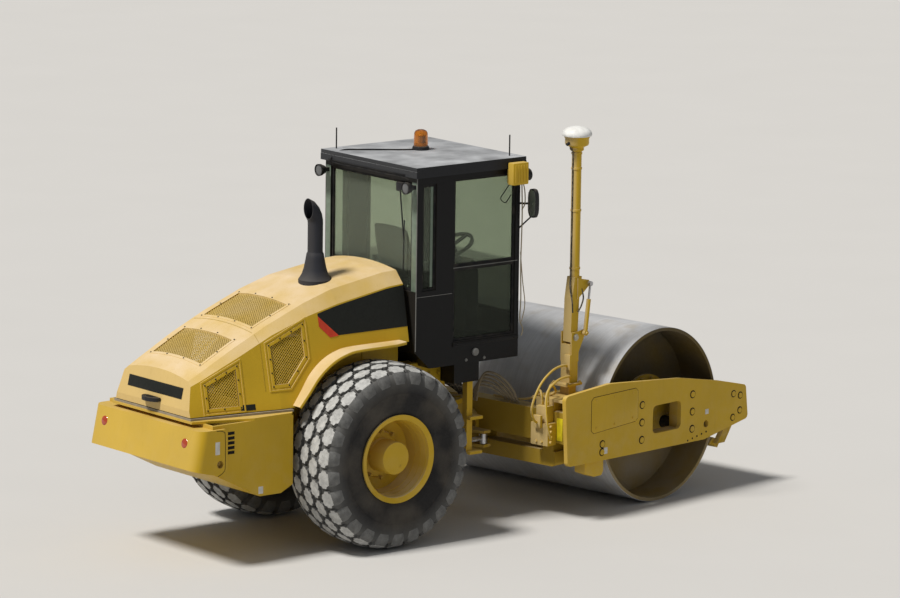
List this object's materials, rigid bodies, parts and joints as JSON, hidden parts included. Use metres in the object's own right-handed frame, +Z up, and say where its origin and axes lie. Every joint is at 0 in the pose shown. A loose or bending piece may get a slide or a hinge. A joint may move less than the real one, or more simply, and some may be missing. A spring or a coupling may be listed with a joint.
{
  "type": "single-drum soil compactor",
  "caption": "Articulated road roller with one smooth steel drum in a yoke, two rubber tyres, engine hood, glazed cab and folding receiver mast.",
  "frame": {"origin": "middle of the machine's box at ground level", "axes": "+X forward along the rear half, +Y left, +Z up"},
  "size_m": [6.0325, 2.6348, 3.354],
  "materials": {
    "body_paint": "satin",
    "cab_paint": "satin",
    "engine_paint": "matte",
    "glass": "clear",
    "drum_steel": "worn",
    "rod_steel": "polished",
    "tyre_rubber": "matte",
    "rubber": "matte",
    "seat_fabric": "woven",
    "stack_steel": "matte",
    "amber": "glossy",
    "white_plastic": "satin"
  },
  "bodies": {
    "rear": {"rear_frame": "body_paint", "bumper": "body_paint", "hood_ledge": "body_paint", "hood_seal": "rubber", "engine_block": "engine_paint", "radiator": "engine_paint", "hood_support": "body_paint", "rear_axle": "body_paint", "cab_base": "cab_paint", "cab_frame": "cab_paint", "cab_roof": "cab_paint", "cab_glass": "glass", "seat_base": "engine_paint", "seat_cushion": "seat_fabric", "steering_console": "engine_paint", "steering_wheel": "rubber", "cab_mounts": "rubber", "cab_steps": "body_paint", "beacon": "amber", "antennas": "rubber", "work_lamps": "cab_paint", "receiver_box": "body_paint", "mirrors": "cab_paint"},
    "hood": {"hood": "body_paint", "hood_grilles": "stack_steel", "arch_lips": "body_paint", "exhaust_stack": "stack_steel", "hood_handle": "rubber"},
    "door": {"door_left": "cab_paint", "door_left_glass": "glass"},
    "wheel_left": {"rim_left": "body_paint", "tyre_left": "tyre_rubber"},
    "wheel_right": {"rim_right": "body_paint", "tyre_right": "tyre_rubber"},
    "hitch": {"hitch_block": "body_paint"},
    "yoke": {"rear_beam": "body_paint", "front_beam": "body_paint", "yoke_plate_left": "body_paint", "yoke_plate_right": "body_paint", "scrapers": "stack_steel", "drum_bearings": "body_paint", "drum_carriers": "body_paint", "drum_isolators": "rubber", "mast_foot": "body_paint", "valve_block": "stack_steel"},
    "drum": {"drum_shell": "drum_steel", "drum_stubs": "drum_steel"},
    "mast": {"mast_arm": "body_paint", "mast_receiver": "white_plastic"},
    "ram_barrel": {"mast_ram_barrel": "body_paint"},
    "ram_rod": {"mast_ram_rod": "rod_steel"},
    "steer_barrel_left": {"steer_barrel_left": "body_paint"},
    "steer_barrel_right": {"steer_barrel_right": "body_paint"},
    "steer_rod_left": {"steer_rod_left": "rod_steel"},
    "steer_rod_right": {"steer_rod_right": "rod_steel"}
  },
  "joints": [
    {"name": "wheel_left_spin", "type": "hinge", "parent": "rear", "child": "wheel_left", "pos_m": [-1.136, 0.577, 0.78], "axis": [0, 1, 0], "continuous": true},
    {"name": "wheel_right_spin", "type": "hinge", "parent": "rear", "child": "wheel_right", "pos_m": [-1.136, -0.973, 0.78], "axis": [0, 1, 0], "continuous": true},
    {"name": "articulation", "type": "hinge", "parent": "rear", "child": "hitch", "pos_m": [0.314, -0.198, 0.735], "axis": [0, 0, 1], "range_deg": [-42.5, 25.5]},
    {"name": "oscillation", "type": "hinge", "parent": "hitch", "child": "yoke", "pos_m": [0.58103, -0.15809, 0.735], "axis": [-0.989, -0.1478, 0], "range_deg": [-15, 15]},
    {"name": "drum_spin", "type": "hinge", "parent": "yoke", "child": "drum", "pos_m": [1.74807, 0.01632, 0.762], "axis": [-0.1478, 0.989, 0], "continuous": true},
    {"name": "hood_lift", "type": "hinge", "parent": "rear", "child": "hood", "pos_m": [-0.706, -0.198, 2.15], "axis": [0, 1, 0], "range_deg": [0, 35]},
    {"name": "door_swing", "type": "hinge", "parent": "rear", "child": "door", "pos_m": [-0.243, 0.44, 2.2], "axis": [0, 0, 1], "range_deg": [0, 100]},
    {"name": "mast_fold", "type": "hinge", "parent": "yoke", "child": "mast", "pos_m": [0.94107, -0.96372, 1.543], "axis": [-0.1478, 0.989, 0], "range_deg": [0, 80]},
    {"name": "mast_ram_pivot", "type": "hinge", "parent": "yoke", "child": "ram_barrel", "pos_m": [1.04635, -1.03899, 1.575], "axis": [-0.1478, 0.989, 0], "range_deg": [0, 96.31]},
    {"name": "mast_ram_slide", "type": "slide", "parent": "ram_barrel", "child": "ram_rod", "axis": [0.1284, 0.0192, 0.9915], "range_m": [-0.05914, 0]},
    {"name": "steer_pivot_left", "type": "hinge", "parent": "rear", "child": "steer_barrel_left", "pos_m": [-0.536, 0.102, 0.64], "axis": [0, 0, 1], "range_deg": [-1.99, 1.19]},
    {"name": "steer_slide_left", "type": "slide", "parent": "steer_barrel_left", "child": "steer_rod_left", "axis": [1, -0.0086, 0], "range_m": [-0.12498, 0.20829]},
    {"name": "steer_pivot_right", "type": "hinge", "parent": "rear", "child": "steer_barrel_right", "pos_m": [-0.536, -0.498, 0.64], "axis": [0, 0, 1], "range_deg": [-0.66, 0.4]},
    {"name": "steer_slide_right", "type": "slide", "parent": "steer_barrel_right", "child": "steer_rod_right", "axis": [0.9998, 0.0205, 0], "range_m": [-0.21053, 0.12632]}
  ],
  "couplings": [
    {"joint": "mast_ram_pivot", "follows": "mast_fold", "ratio": 1.2039},
    {"joint": "mast_ram_slide", "follows": "mast_fold", "m_per_rad": -0.042355},
    {"joint": "steer_pivot_left", "follows": "articulation", "ratio": 0.046749},
    {"joint": "steer_slide_left", "follows": "articulation", "m_per_rad": -0.2808},
    {"joint": "steer_pivot_right", "follows": "articulation", "ratio": 0.015541},
    {"joint": "steer_slide_right", "follows": "articulation", "m_per_rad": 0.28382}
  ]
}
